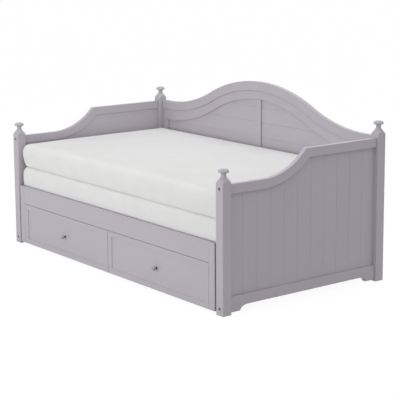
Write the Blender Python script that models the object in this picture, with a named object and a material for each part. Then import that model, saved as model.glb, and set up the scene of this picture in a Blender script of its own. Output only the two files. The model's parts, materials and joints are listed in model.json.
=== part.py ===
# Storage daybed: four turned posts, two swept end panels, a crested back panel and, between
# the front posts, a frame on wheels that holds two drawers and pulls out to widen the bed.
# Metres, +Z up. X runs along the bed, -Y is its open front, and the origin is on the floor
# under the middle of the whole footprint, knobs included.

import math

import bmesh
import bpy
from mathutils import Vector

# Overall sizes, measured over the posts
overall_length = 2.120
overall_depth = 1.155
front_shoulder_height = 0.688
back_shoulder_rise = 0.143
post_width = 0.057
finial_height = 0.080

# Fits shared by all joints
seat_gap = 0.0003
overrun = 0.006
weld_distance = 0.00002

# Turned post tops
post_corner_round = 0.0025
post_corner_steps = 2
post_corner_profile_share = 0.5
post_turning_steps = 24
finial_profile_shares = [
    (1.450, 0.000), (1.270, 0.138), (1.095, 0.217), (0.915, 0.296), (0.735, 0.375),
    (0.570, 0.445), (0.490, 0.523), (0.480, 0.612), (0.530, 0.681), (0.770, 0.733),
    (0.980, 0.782), (1.000, 0.835), (0.940, 0.897), (0.740, 0.952), (0.420, 0.985),
    (0.000, 1.000),
]

# Bolts that pull the end rails onto the posts
bolt_bore_radius = 0.008
bolt_sink = 0.006
bolt_head_radius = 0.0068
bolt_head_height = 0.006
bolt_shank_radius = 0.003
bolt_bite = 0.032
bolt_socket_radius = 0.0032
bolt_socket_depth = 0.0035
bolt_steps = 12
bolt_drop = 0.019
lower_bolt_height = 0.036

# End panels
end_front_drop = 0.004
end_back_drop = 0.015
sweep_run = 0.295
sweep_steps = 12
end_rail_width = 0.051
end_rail_thickness = 0.027
end_rail_inset = 0.012
end_board_inset = 0.015
end_board_thickness = 0.008
end_board_count = 11
tongue_depth = 0.008
seam_half_width = 0.0025
seam_depth = 0.0022
base_rail_top = 0.092
base_rail_arch = 0.038
base_rail_foot = 0.010
foot_length = 0.068
foot_curve_run = 0.054
foot_curve_steps = 5

# Back panel
back_inset = 0.025
crest_rise = 0.2115
crest_valley_drop = 0.0075
crest_level_run = 0.086
crest_inflection_share = 0.5224
crest_width = 0.058
crest_thickness = 0.024
crest_steps = 12
facing_inset = 0.005
facing_thickness = 0.009
facing_peak_drop = 0.111
facing_valley_drop = 0.128
facing_inflection_share = 0.462
back_stile_width = 0.055
back_muntin_width = 0.038
back_board_thickness = 0.008
back_board_pitch = 0.0945
back_top_seam_drop = 0.1595
back_rail_height = 0.090
tenon_length = 0.020
tenon_thickness = 0.010
tenon_height = 0.044

# Bed base
slat_top = 0.359
slat_thickness = 0.018
slat_width = 0.060
slat_end_gap = 0.048
slat_pair_count = 10
ledger_depth = 0.030
ledger_height = 0.018
ledger_lap = 0.004
strip_end = 0.006
comb_gap = 0.0006
cleat_thickness = 0.020
cleat_height = 0.045
cleat_setback = 0.030
beam_depth = 0.030
beam_setback = 0.002

# Pull-out frame
pull_out_gap = 0.012
front_frame_thickness = 0.022
front_rail_lip = 0.016
front_rail_width = 0.110
front_stile_width = 0.049
frame_bottom = 0.0143
partition_thickness = 0.018
partition_top_gap = 0.0067
partition_setback = 0.003
tie_thickness = 0.016
tie_bottom = 0.066

# Wheels of the pull-out frame
wheel_radius = 0.030
wheel_width = 0.018
wheel_dish = 0.003
wheel_floor_gap = 0.0003
wheel_steps = 16
wheel_front_setback = 0.125
wheel_back_setback = 0.115
stud_shoulder_radius = 0.007
stud_shoulder_length = 0.003
stud_radius = 0.004
stud_cap_radius = 0.0065
stud_cap_length = 0.0025
stud_steps = 10

# Drawers
drawer_reveal = 0.0015
drawer_top_gap = 0.0025
drawer_front_thickness = 0.019
drawer_panel_side_margin = 0.036
drawer_panel_end_margin = 0.030
drawer_panel_slope = 0.0015
drawer_panel_depth = 0.005
drawer_length = 0.750
drawer_wall = 0.012
drawer_wheel_gap = 0.0057
drawer_box_drop = 0.025
drawer_side_gap = 0.008
drawer_floor_thickness = 0.004
drawer_floor_lift = 0.008
drawer_floor_groove = 0.005
runner_height = 0.020
runner_lift = 0.076
runner_bite = 0.004
runner_side_gap = 0.0006

# Knobs
knob_reach = 0.026
knob_stud_radius = 0.002
knob_stud_length = 0.011
knob_steps = 16
knob_radius = 0.0125
knob_profile_shares = [
    (0.60, 0.00), (0.60, 0.08), (0.40, 0.16), (0.34, 0.30), (0.38, 0.45), (0.62, 0.56),
    (0.92, 0.64), (1.00, 0.74), (0.94, 0.85), (0.70, 0.95), (0.36, 0.99), (0.00, 1.00),
]

# Mattresses
mattress_side_gap = 0.003
mattress_front_setback = 0.014
mattress_thickness = 0.1385
mattress_crown = 0.005
mattress_edge_inset = 0.040
mattress_corner_round = 0.022
mattress_top_corner_round = 0.014
mattress_side_draw = 0.004
mattress_corner_steps = 5
mattress_long_steps = 8
mattress_short_steps = 5
mattress_crown_steps = 3
mattress_cap_share = 0.85
mattress_edge_shares = [
    (0.62, 0.00), (0.46, 0.02), (0.36, 0.08), (0.19, 0.25), (0.05, 0.46), (0.00, 0.60),
    (0.035, 0.72), (0.12, 0.82), (0.28, 0.91), (0.50, 0.965), (0.74, 0.992), (1.00, 1.00),
]
mattress_sharp_angle = math.radians(60)

# Places worked out from the sizes above
back_shoulder_height = front_shoulder_height + back_shoulder_rise
half_length = overall_length / 2
knob_stand = knob_reach - drawer_panel_depth
y_front = -(overall_depth + knob_stand) / 2 + knob_stand
y_back = y_front + overall_depth
y_middle = (y_front + y_back) / 2
post_x = half_length - post_width / 2
clear_half_length = half_length - post_width
span_front = y_front + post_width + seat_gap
span_back = y_back - post_width - seat_gap
back_face = y_back - post_width + back_inset
end_low_top = front_shoulder_height - end_front_drop
end_high_top = back_shoulder_height - end_back_drop
crest_valley = back_shoulder_height - crest_valley_drop
crest_peak = crest_valley + crest_rise
crest_run = clear_half_length - crest_level_run
facing_peak = crest_peak - facing_peak_drop
facing_valley = crest_valley - facing_valley_drop
slat_bottom = slat_top - slat_thickness
bearer_top = slat_bottom - seat_gap
cleat_bottom = bearer_top - cleat_height
slat_reach = clear_half_length - slat_end_gap - slat_width / 2
frame_back = y_front + front_frame_thickness
frame_half_length = clear_half_length - pull_out_gap
opening_half_length = frame_half_length - front_stile_width
beam_back = y_front + post_width + beam_setback + beam_depth
ledger_front = back_face - seat_gap - ledger_depth
spreader_front = ledger_front - comb_gap - ledger_depth
partition_inner = opening_half_length + partition_setback
partition_top = cleat_bottom - partition_top_gap
front_rail_top = slat_top + front_rail_lip
front_rail_bottom = front_rail_top - front_rail_width
axle_height = wheel_radius + wheel_floor_gap
drawer_box_bottom = axle_height + wheel_radius + drawer_wheel_gap
drawer_box_top = front_rail_bottom - drawer_box_drop
runner_bottom = drawer_box_bottom + runner_lift
back_rail_bottom = bearer_top - back_rail_height
shank_bore_radius = bolt_shank_radius + seat_gap
knob_bore_radius = knob_stud_radius + seat_gap

# Finishes
PAINT = ("lilac grey paint", (0.462, 0.436, 0.470), 0.46, 0.0)
PINE = ("bare pine", (0.610, 0.455, 0.285), 0.62, 0.0)
BOARD = ("white lined board", (0.640, 0.630, 0.610), 0.55, 0.0)
STEEL = ("zinc plated steel", (0.420, 0.410, 0.400), 0.35, 1.0)
NICKEL = ("polished nickel", (0.640, 0.630, 0.620), 0.18, 1.0)
MOULDED = ("black moulded plastic", (0.060, 0.060, 0.065), 0.70, 0.0)
COVER = ("white mattress cover", (0.760, 0.755, 0.745), 0.90, 0.0)


def finish(choice):
    """Returns the material of a finish, made on its first use."""
    name, colour, roughness, metallic = choice
    material = bpy.data.materials.get(name)
    if material is None:
        material = bpy.data.materials.new(name)
        material.use_nodes = True
        shader = material.node_tree.nodes["Principled BSDF"]
        shader.inputs["Base Color"].default_value = (*colour, 1.0)
        shader.inputs["Roughness"].default_value = roughness
        shader.inputs["Metallic"].default_value = metallic
        material.diffuse_color = (*colour, 1.0)
    return material


def make(name, build, choice, parent=None, location=(0.0, 0.0, 0.0), rotation=(0.0, 0.0, 0.0)):
    """Makes one object from a function that fills a bmesh around the object's own origin."""
    shape = bmesh.new()
    build(shape)
    bmesh.ops.recalc_face_normals(shape, faces=shape.faces)
    mesh = bpy.data.meshes.new(name)
    shape.to_mesh(mesh)
    shape.free()
    piece = bpy.data.objects.new(name, mesh)
    bpy.context.collection.objects.link(piece)
    if choice is not None:
        mesh.materials.append(finish(choice))
    piece.parent = parent
    piece.location = location
    piece.rotation_euler = rotation
    return piece


def tool(name, build, parent=None, location=(0.0, 0.0, 0.0), rotation=(0.0, 0.0, 0.0)):
    """Makes a hidden solid that other pieces are cut by, trimmed to or joined with."""
    solid = make(name, build, None, parent, location, rotation)
    solid.hide_render = True
    solid.display_type = "WIRE"
    return solid


def combine(piece, solid, operation="DIFFERENCE"):
    modifier = piece.modifiers.new(solid.name, "BOOLEAN")
    modifier.operation = operation
    modifier.solver = "EXACT"
    modifier.object = solid


def group(name, location=(0.0, 0.0, 0.0), parent=None):
    """Makes an empty that carries the pieces of one moving unit."""
    holder = bpy.data.objects.new(name, None)
    bpy.context.collection.objects.link(holder)
    holder.parent = parent
    holder.location = location
    return holder


def rounded(piece, angle=math.radians(40)):
    """Shades a turned or curved piece smooth and keeps its real corners."""
    piece.data.shade_smooth()
    piece.data.set_sharp_from_angle(angle=angle)


def prism(outline, axis, low, high):
    """Extrudes an outline along an axis; its points hold the other two coordinates in order."""
    def place(first, second, along):
        return {
            "X": (along, first, second),
            "Y": (first, along, second),
            "Z": (first, second, along),
        }[axis]

    def build(shape):
        corners = [shape.verts.new(place(first, second, low)) for first, second in outline]
        face = shape.faces.new(corners)
        grown = bmesh.ops.extrude_face_region(shape, geom=[face])
        moved = [item for item in grown["geom"] if isinstance(item, bmesh.types.BMVert)]
        bmesh.ops.translate(shape, verts=moved, vec=Vector(place(0.0, 0.0, high - low)))
    return build


def block(x_low, x_high, y_low, y_high, z_low, z_high):
    """A plain board between two corners."""
    outline = [(x_low, y_low), (x_high, y_low), (x_high, y_high), (x_low, y_high)]
    return prism(outline, "Z", z_low, z_high)


def turned(profile, steps, closed=False):
    """Spins a profile of (radius, height) points about Z."""
    def build(shape):
        points = [shape.verts.new((radius, 0.0, height)) for radius, height in profile]
        pairs = list(zip(points, points[1:]))
        if closed:
            pairs.append((points[-1], points[0]))
        edges = [shape.edges.new(pair) for pair in pairs]
        bmesh.ops.spin(
            shape, geom=points + edges, axis=(0, 0, 1), cent=(0, 0, 0),
            angle=2 * math.pi, steps=steps,
        )
        bmesh.ops.remove_doubles(shape, verts=shape.verts, dist=weld_distance)
    return build


def steps_between(start, end, count):
    return [start + (end - start) * index / count for index in range(count + 1)]


def side_range(side, near, far):
    """Orders the X of two planes, given as distances from the middle, on the left or right."""
    return sorted((side * near, side * far))


def seamed_line(start, end, seams, face, inward):
    """A face line from start to end with a V notch at each seam; inward is +1 or -1."""
    points = [(start, face)]
    for seam in seams:
        points.append((seam - seam_half_width, face))
        points.append((seam, face + inward * seam_depth))
        points.append((seam + seam_half_width, face))
    points.append((end, face))
    return points


# Posts and their bolts

def post_profile(shoulder):
    """Turning line of a post: wider than the square stock up to the shoulder, then the finial."""
    half = post_width / 2
    top = [(half * radius, shoulder + finial_height * height)
           for radius, height in finial_profile_shares]
    core = half * finial_profile_shares[0][0]
    return [(0.0, -overrun), (core, -overrun)] + top


def square_stock(height):
    def build(shape):
        half = post_width / 2
        block(-half, half, -half, half, 0.0, height)(shape)
        upright = [edge for edge in shape.edges
                   if abs(edge.verts[0].co.z - edge.verts[1].co.z) > height / 2]
        bmesh.ops.bevel(
            shape, geom=upright, offset=post_corner_round, segments=post_corner_steps,
            profile=post_corner_profile_share, affect="EDGES",
        )
    return build


def make_post(name, side, y, shoulder, parent):
    """Square stock trimmed by the turning, which leaves an arched top on each flat face."""
    place = (side * post_x, y, 0.0)
    post = make(name, square_stock(shoulder + finial_height + overrun), PAINT, parent, place)
    turning = tool(f"turning_{name}", turned(post_profile(shoulder), post_turning_steps), parent,
                   place)
    combine(post, turning, "INTERSECT")
    rounded(post)
    return post


def bolt_profile():
    shank_end = -(post_width - bolt_sink - bolt_head_height) - bolt_bite
    return [
        (0.0, shank_end), (bolt_shank_radius, shank_end), (bolt_shank_radius, 0.0),
        (bolt_head_radius, 0.0), (bolt_head_radius, bolt_head_height),
        (bolt_socket_radius, bolt_head_height),
        (bolt_socket_radius, bolt_head_height - bolt_socket_depth),
        (0.0, bolt_head_height - bolt_socket_depth),
    ]


def bolt_bore_profile():
    """Counterbore that hides the head, and a close bore for the shank."""
    bore_end = -(post_width - bolt_sink - bolt_head_height) - bolt_bite - seat_gap
    mouth = bolt_head_height + bolt_sink + overrun
    return [
        (0.0, bore_end), (shank_bore_radius, bore_end), (shank_bore_radius, -seat_gap),
        (bolt_bore_radius, -seat_gap), (bolt_bore_radius, mouth), (0.0, mouth),
    ]


def make_bolt(name, side, face, facing, height, pieces, parent):
    """One bolt through a post into a rail; facing is -1 for a head on the front, +1 behind."""
    seat = face - facing * (bolt_sink + bolt_head_height)
    place = (side * post_x, seat, height)
    turn = (-facing * math.pi / 2, 0.0, 0.0)
    bore = tool(f"bore_{name}", turned(bolt_bore_profile(), bolt_steps), parent, place, turn)
    for piece in pieces:
        combine(piece, bore)
    bolt = make(name, turned(bolt_profile(), bolt_steps), STEEL, parent, place, turn)
    rounded(bolt)
    return bolt


# End panels

def end_edge(drop, reach=0.0):
    """Line that runs drop below the top edge of an end panel, front to back, as (y, z)."""
    rise = end_high_top - end_low_top
    radius = (sweep_run ** 2 + rise ** 2) / (2 * rise)
    turn = math.acos((radius - rise + drop) / (radius + drop))
    start_y = y_middle - sweep_run
    points = [(span_front - reach, end_low_top - drop)]
    for angle in steps_between(0.0, turn, sweep_steps):
        y = start_y + (radius + drop) * math.sin(angle)
        z = end_low_top + radius - (radius + drop) * math.cos(angle)
        points.append((y, z))
    points.append((span_back + reach, end_high_top - drop))
    return points


def base_rail_outline(start, end, top):
    """Bottom rail with a foot at each end and a long flat arch between them, as (span, z)."""
    rise = base_rail_arch - base_rail_foot
    curve = []
    for angle in steps_between(0.0, math.pi / 2, foot_curve_steps):
        along = foot_length + foot_curve_run * (1 - math.cos(angle))
        curve.append((along, base_rail_foot + rise * math.sin(angle)))
    near = [(start, base_rail_foot)] + [(start + along, z) for along, z in curve]
    far = [(end - along, z) for along, z in reversed(curve)] + [(end, base_rail_foot)]
    return near + far + [(end, top), (start, top)]


def make_end_panel(label, side, parent):
    """Swept top rail, tongued boards and arched bottom rail between a front and a back post."""
    rail_outer = half_length - end_rail_inset
    rail_planes = side_range(side, rail_outer, rail_outer - end_rail_thickness)
    board_outer = rail_outer - end_board_inset
    board_inner = board_outer - end_board_thickness

    upper = end_edge(0.0)
    lower = end_edge(end_rail_width)
    top_rail = make(f"end_{label}_top_rail", prism(upper + lower[::-1], "X", *rail_planes), PAINT,
                    parent)
    base_outline = base_rail_outline(span_front, span_back, base_rail_top)
    bottom_rail = make(f"end_{label}_bottom_rail", prism(base_outline, "X", *rail_planes), PAINT,
                       parent)

    board_bottom = base_rail_top - tongue_depth
    groove_drop = end_rail_width - tongue_depth - seat_gap
    groove_floor = board_bottom - seat_gap
    groove_outline = end_edge(groove_drop, overrun)
    groove_outline += [(span_back + overrun, groove_floor), (span_front - overrun, groove_floor)]
    groove_planes = side_range(side, board_outer + seat_gap, board_inner - seat_gap)
    groove = tool(f"groove_end_{label}", prism(groove_outline, "X", *groove_planes), parent)
    combine(top_rail, groove)
    combine(bottom_rail, groove)

    board_width = (span_back - span_front) / end_board_count
    seams = [span_front + board_width * index for index in range(1, end_board_count)]
    outer_line = seamed_line(span_front, span_back, seams, side * board_outer, -side)
    inner_line = [(span_back, side * board_inner), (span_front, side * board_inner)]
    section = [(x, y) for y, x in outer_line + inner_line]
    boards = make(f"end_{label}_boards", prism(section, "Z", board_bottom, end_high_top), PAINT,
                  parent)
    trim_bottom = board_bottom - overrun
    trim_outline = end_edge(end_rail_width - tongue_depth, overrun)
    trim_outline += [(span_back + overrun, trim_bottom), (span_front - overrun, trim_bottom)]
    trim_planes = side_range(side, board_outer + overrun, board_inner - overrun)
    trim = tool(f"trim_end_{label}", prism(trim_outline, "X", *trim_planes), parent)
    combine(boards, trim, "INTERSECT")
    return top_rail, bottom_rail


# Back panel

def wave_arcs(peak, valley, run, inflection_share):
    """Turn and two radii of half a crest line, whose arcs meet at a share of its run."""
    turn = 2 * math.atan((peak - valley) / run)
    crown = inflection_share * run / math.sin(turn)
    hollow = (1 - inflection_share) * run / math.sin(turn)
    return turn, crown, hollow


def wave_edge(peak, valley, run, inflection_share, drop=0.0):
    """Half a crest line from the middle out: a convex arc that turns into a level hollow."""
    turn, crown, hollow = wave_arcs(peak, valley, run, inflection_share)
    points = []
    for angle in steps_between(0.0, turn, crest_steps):
        x = (crown - drop) * math.sin(angle)
        points.append((x, peak - crown + (crown - drop) * math.cos(angle)))
    for angle in steps_between(turn, 0.0, crest_steps)[1:]:
        x = run - (hollow + drop) * math.sin(angle)
        points.append((x, valley + hollow - (hollow + drop) * math.cos(angle)))
    return points


def full_edge(half_edge, reach):
    """Mirrors half a crest line and carries both ends level out to the posts."""
    right = half_edge + [(reach, half_edge[-1][1])]
    left = [(-x, z) for x, z in reversed(right[1:])]
    return left + right


def make_back_panel(parent, posts):
    """Crest rail, facing frame with a centre muntin, level boards and a low rail."""
    reach = clear_half_length - seat_gap
    crest_back = back_face + crest_thickness
    facing_front = back_face + facing_inset
    facing_back = facing_front + facing_thickness
    board_front = facing_back + seat_gap
    board_back = board_front + back_board_thickness
    rail_top = bearer_top
    field_bottom = rail_top + seat_gap
    stile_inner = clear_half_length - back_stile_width

    crest_line = full_edge(wave_edge(crest_peak, crest_valley, crest_run, crest_inflection_share), reach)
    under_crest = wave_edge(crest_peak, crest_valley, crest_run, crest_inflection_share, crest_width)
    crest = make("back_crest_rail",
                 prism(crest_line + full_edge(under_crest, reach)[::-1], "Y", back_face, crest_back),
                 PAINT, parent)
    low_rail = make("back_bottom_rail",
                    block(-reach, reach, back_face, crest_back, back_rail_bottom, rail_top),
                    PAINT, parent)

    seat_drop = crest_width + seat_gap
    seat_line = wave_edge(crest_peak, crest_valley, crest_run, crest_inflection_share, seat_drop)
    facing_edge = wave_edge(facing_peak, facing_valley, stile_inner, facing_inflection_share)
    make("back_top_facing",
         prism(full_edge(seat_line, reach) + full_edge(facing_edge, reach)[::-1], "Y",
               facing_front, facing_back),
         PAINT, parent)
    stile_top = facing_valley - seat_gap
    for label, side in (("left", -1), ("right", 1)):
        planes = side_range(side, stile_inner, reach)
        make(f"back_stile_{label}",
             block(*planes, facing_front, facing_back, field_bottom, stile_top), PAINT, parent)
    muntin_half = back_muntin_width / 2
    crown = wave_arcs(facing_peak, facing_valley, stile_inner, facing_inflection_share)[1]
    muntin_top = facing_peak - crown + math.sqrt(crown ** 2 - muntin_half ** 2) - seat_gap
    make("back_muntin",
         block(-muntin_half, muntin_half, facing_front, facing_back, field_bottom, muntin_top),
         PAINT, parent)

    top_seam = crest_peak - back_top_seam_drop
    seam_count = int((top_seam - field_bottom - seam_half_width) / back_board_pitch) + 1
    seams = [top_seam - back_board_pitch * index for index in range(seam_count)][::-1]
    front_line = seamed_line(field_bottom, crest_peak, seams, board_front, 1)
    section = [(y, z) for z, y in front_line]
    section += [(board_back, crest_peak), (board_back, field_bottom)]
    boards = make("back_boards", prism(section, "X", -reach, reach), PAINT, parent)
    trim_reach = reach + overrun
    trim_outline = full_edge(seat_line, trim_reach)
    trim_outline += [(trim_reach, field_bottom - overrun), (-trim_reach, field_bottom - overrun)]
    trim = tool("trim_back_boards",
                prism(trim_outline, "Y", board_front - overrun, board_back + overrun), parent)
    combine(boards, trim, "INTERSECT")

    tenon_middle = (back_face + crest_back) / 2
    crest_tenon = crest_valley - crest_width / 2
    low_tenon = (rail_top + back_rail_bottom) / 2
    for rail, height, word in ((crest, crest_tenon, "crest"), (low_rail, low_tenon, "low")):
        for post, side in zip(posts, (-1, 1)):
            join_tenon(rail, post, side, tenon_middle, height, word, parent)


def join_tenon(rail, post, side, y, z, word, parent):
    """Stub tenon on the end of a back rail, and its mortise in the post."""
    half_t = tenon_thickness / 2
    half_h = tenon_height / 2
    inner = clear_half_length - seat_gap - overrun
    tip = clear_half_length + tenon_length
    planes = side_range(side, inner, tip)
    tenon = tool(f"tenon_{word}_{side}",
                 block(*planes, y - half_t, y + half_t, z - half_h, z + half_h), parent)
    combine(rail, tenon, "UNION")
    planes = side_range(side, inner, tip + seat_gap)
    mortise = tool(f"mortise_{word}_{side}",
                   block(*planes, y - half_t - seat_gap, y + half_t + seat_gap,
                         z - half_h - seat_gap, z + half_h + seat_gap), parent)
    combine(post, mortise)


# Bed base

def comb(slat_places, slat_low, slat_high, strip_low, strip_high, half_strip):
    """Slats in one layer, all joined to a cross strip that is one of their two ends."""
    half = slat_width / 2

    def build(shape):
        strip_is_front = strip_low < slat_low + overrun
        root = strip_high if strip_is_front else strip_low
        tip = slat_high if strip_is_front else slat_low
        outer = strip_low if strip_is_front else strip_high
        outline = [(-half_strip, outer), (half_strip, outer), (half_strip, root)]
        for x in reversed(slat_places):
            outline += [(x + half, root), (x + half, tip), (x - half, tip), (x - half, root)]
        outline.append((-half_strip, root))
        prism(outline, "Z", slat_bottom, slat_top)(shape)
    return build


def bearer(name, slat_places, half_strip, y_low, y_high, parent):
    """Cross strip under the ends of a comb's slats, with a raised seat glued into each slat."""
    half = slat_width / 2 - seat_gap
    bottom = bearer_top - ledger_height
    outline = [(-half_strip, bottom), (half_strip, bottom), (half_strip, bearer_top)]
    for x in reversed(slat_places):
        outline += [(x + half, bearer_top), (x + half, slat_bottom + ledger_lap),
                    (x - half, slat_bottom + ledger_lap), (x - half, bearer_top)]
    outline.append((-half_strip, bearer_top))
    return tool(name, prism(outline, "Y", y_low + seat_gap, y_high - seat_gap), parent)


def make_bed_base(parent):
    """Cleats and a cross beam on the fixed frame, and the comb of slats that stays with it."""
    cleat_inner = clear_half_length - cleat_thickness
    for label, side in (("left", -1), ("right", 1)):
        planes = side_range(side, cleat_inner, clear_half_length - seat_gap)
        make(f"end_{label}_cleat",
             block(*planes, y_front + cleat_setback, back_face - seat_gap,
                   cleat_bottom, bearer_top), PINE, parent)
    beam_reach = cleat_inner - seat_gap
    beam_front = beam_back - beam_depth
    make("fixed_cross_beam",
         block(-beam_reach, beam_reach, beam_front, beam_back, cleat_bottom, bearer_top),
         PINE, parent)

    places = steps_between(-slat_reach, slat_reach, slat_pair_count)
    half_strip = slat_reach + slat_width / 2
    rear = back_face - seat_gap
    slats = make("fixed_slats",
                 comb(places, beam_front, ledger_front, ledger_front, rear, half_strip + strip_end),
                 PINE, parent)
    ledger = bearer("fixed_ledger", places, half_strip, ledger_front, rear, parent)
    combine(slats, ledger, "UNION")


# Pull-out frame

def make_front_frame(parent):
    rail_reach = opening_half_length - seat_gap
    make("pull_out_front_rail",
         block(-rail_reach, rail_reach, y_front, frame_back, front_rail_bottom, front_rail_top),
         PAINT, parent)
    for label, side in (("left", -1), ("right", 1)):
        planes = side_range(side, opening_half_length, frame_half_length)
        make(f"pull_out_stile_{label}",
             block(*planes, y_front, frame_back, frame_bottom, front_rail_top), PAINT, parent)


def stud_profile():
    """Axle stud: root in the panel, shoulder, pin and the cap that keeps the wheel on."""
    pin_end = stud_shoulder_length + wheel_width + 2 * seat_gap
    tip = pin_end + stud_cap_length
    return [
        (0.0, -overrun), (stud_shoulder_radius, -overrun),
        (stud_shoulder_radius, stud_shoulder_length), (stud_radius, stud_shoulder_length),
        (stud_radius, pin_end),
        (stud_cap_radius, pin_end), (stud_cap_radius, tip), (0.0, tip),
    ]


def wheel_profile():
    """Closed ring with a bore, a dished web and a rounded tread."""
    bore = stud_radius + seat_gap
    half = wheel_width / 2
    hub = (bore + wheel_radius) / 2
    rim = wheel_radius - wheel_dish
    tread = half - wheel_dish
    return [
        (bore, -half), (hub, -tread), (rim, -half), (wheel_radius, -tread),
        (wheel_radius, tread), (rim, half), (hub, tread), (bore, half),
    ]


def make_partition(label, x_low, x_high, wheel_side, runner_sides, parent):
    """Upright panel of the pull-out frame with its drawer runners, and two wheels on studs."""
    front = frame_back + seat_gap
    back = spreader_front - seat_gap
    panel = make(f"partition_{label}",
                 block(x_low, x_high, front, back, frame_bottom, partition_top), BOARD, parent)
    runner_reach = drawer_side_gap + runner_bite
    for side in runner_sides:
        face = x_high if side > 0 else x_low
        planes = sorted((face - side * partition_thickness / 2, face + side * runner_reach))
        word = "left" if side < 0 else "right"
        runner = tool(f"runner_{label}_{word}",
                      block(*planes, front + overrun, y_front + drawer_length,
                            runner_bottom, runner_bottom + runner_height), parent)
        combine(panel, runner, "UNION")
    face = x_high if wheel_side > 0 else x_low
    wheel_x = face + wheel_side * (stud_shoulder_length + seat_gap + wheel_width / 2)
    turn = (0.0, wheel_side * math.pi / 2, 0.0)
    places = (("front", y_front + wheel_front_setback), ("back", back - wheel_back_setback))
    for word, y in places:
        stud = tool(f"stud_{label}_{word}", turned(stud_profile(), stud_steps), parent,
                    (face, y, axle_height), turn)
        combine(panel, stud, "UNION")
        wheel = make(f"wheel_{label}_{word}", turned(wheel_profile(), wheel_steps, True), MOULDED,
                     parent, (wheel_x, y, axle_height), turn)
        rounded(wheel)


def make_pull_out(parent):
    """Front frame, three partitions on wheels, a rear tie and the comb that travels with them."""
    make_front_frame(parent)
    outer = partition_inner + partition_thickness
    half = partition_thickness / 2
    make_partition("left", -outer, -partition_inner, 1, (1,), parent)
    make_partition("centre", -half, half, 1, (-1, 1), parent)
    make_partition("right", partition_inner, outer, -1, (-1,), parent)
    spreader_bottom = bearer_top - ledger_height
    make("pull_out_rear_tie",
         block(-outer, outer, spreader_front, spreader_front + tie_thickness,
               tie_bottom, spreader_bottom - seat_gap), BOARD, parent)

    fixed_places = steps_between(-slat_reach, slat_reach, slat_pair_count)
    places = [(left + right) / 2 for left, right in zip(fixed_places, fixed_places[1:])]
    half_strip = places[-1] + slat_width / 2
    strip_front = frame_back + seat_gap
    strip_back = strip_front + ledger_depth
    tips = spreader_front + ledger_depth
    slats = make("sliding_slats",
                 comb(places, strip_front, tips, strip_front, strip_back, half_strip + strip_end),
                 PINE, parent)
    ledger = bearer("front_ledger", places, half_strip, strip_front, strip_back, parent)
    combine(slats, ledger, "UNION")
    spreader = bearer("rear_spreader", places, half_strip, spreader_front, tips, parent)
    combine(slats, spreader, "UNION")


# Drawers

def drawer_front(x_low, x_high, z_low, z_high):
    """Front with a routed panel: a steep edge around a sunk field."""
    def build(shape):
        block(x_low, x_high, 0.0, drawer_front_thickness, z_low, z_high)(shape)
        shape.faces.ensure_lookup_table()
        face = min(shape.faces, key=lambda item: item.calc_center_median().y)
        shape.faces.remove(face)
        rims = []
        for side_margin, end_margin, depth in (
            (0.0, 0.0, 0.0),
            (drawer_panel_side_margin, drawer_panel_end_margin, 0.0),
            (drawer_panel_side_margin + drawer_panel_slope,
             drawer_panel_end_margin + drawer_panel_slope, drawer_panel_depth),
        ):
            left, right = x_low + side_margin, x_high - side_margin
            low, high = z_low + end_margin, z_high - end_margin
            corners = [(left, low), (right, low), (right, high), (left, high)]
            rims.append([shape.verts.new((x, depth, z)) for x, z in corners])
        for outer, inner in zip(rims, rims[1:]):
            for index in range(4):
                after = (index + 1) % 4
                shape.faces.new((outer[index], outer[after], inner[after], inner[index]))
        shape.faces.new(rims[-1])
        bmesh.ops.remove_doubles(shape, verts=shape.verts, dist=weld_distance)
    return build


def drawer_side_section(outer, inner, top, bottom):
    """Side board seen from the front: a runner groove outside and a floor groove inside."""
    step = 1 if inner > outer else -1
    groove_floor = outer + step * (runner_bite + runner_side_gap)
    slot_floor = inner - step * drawer_floor_groove
    slot_low = bottom + drawer_floor_lift
    slot_high = slot_low + drawer_floor_thickness + 2 * seat_gap
    runner_low = runner_bottom - seat_gap
    runner_high = runner_bottom + runner_height + seat_gap
    return [
        (outer, bottom), (inner, bottom),
        (inner, slot_low), (slot_floor, slot_low), (slot_floor, slot_high), (inner, slot_high),
        (inner, top), (outer, top),
        (outer, runner_high), (groove_floor, runner_high),
        (groove_floor, runner_low), (outer, runner_low),
    ]


def knob_profile():
    """Knob and the screw stud that holds it, from the stud's tip to the crown."""
    head = [(knob_radius * radius, knob_reach * height) for radius, height in knob_profile_shares]
    head = [(radius, height + seat_gap) for radius, height in head[:-1]] + [(0.0, knob_reach)]
    stud = [(0.0, -knob_stud_length), (knob_stud_radius, -knob_stud_length),
            (knob_stud_radius, seat_gap)]
    return stud + head


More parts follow.
